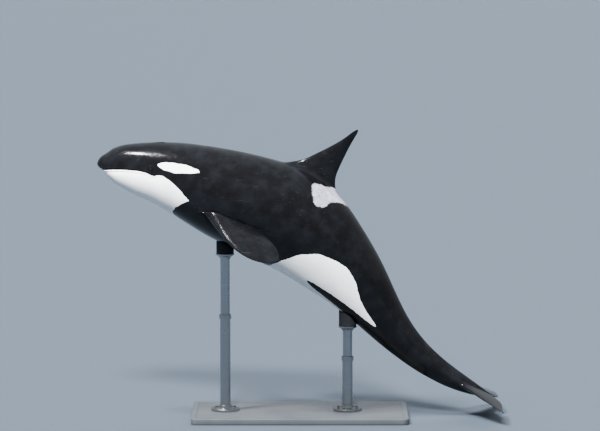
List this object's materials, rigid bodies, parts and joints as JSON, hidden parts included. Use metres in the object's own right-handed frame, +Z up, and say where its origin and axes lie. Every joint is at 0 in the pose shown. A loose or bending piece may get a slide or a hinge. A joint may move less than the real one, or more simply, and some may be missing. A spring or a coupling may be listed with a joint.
{
  "type": "orca",
  "caption": "Life-size orca in mid leap, mouth closed, flippers swept back, held by two uprights on a flat display base.",
  "frame": {"origin": "centre of the stand base's underside, on the floor", "axes": "+Z up, snout towards -X and tail towards +X, the animal's left side towards -Y"},
  "size_m": [5.4181, 2.2618, 3.8748],
  "materials": {
    "black_skin": "wet, smooth black skin with a soft gloss",
    "white_skin": "wet, smooth white skin",
    "eye": "dark brown, glossy and wet",
    "base_paint": "satin dark grey powder coat",
    "rod_steel": "brushed stainless steel",
    "pad_rubber": "matt black moulded rubber"
  },
  "bodies": {
    "root": {"head": "black_skin", "lower_jaw": "white_skin", "eye_left": "eye", "eye_right": "eye", "chest": "black_skin", "midbody": "black_skin", "loin": "black_skin", "tail_stock": "black_skin", "dorsal_fin": "black_skin", "flipper_left": "black_skin", "flipper_right": "black_skin", "fluke_left": "black_skin", "fluke_right": "black_skin", "stand_base": "base_paint", "stand_foot_front": "rod_steel", "stand_foot_rear": "rod_steel", "stand_rod_front": "rod_steel", "stand_rod_rear": "rod_steel", "stand_pad_front": "pad_rubber", "stand_pad_rear": "pad_rubber"}
  },
  "joints": []
}
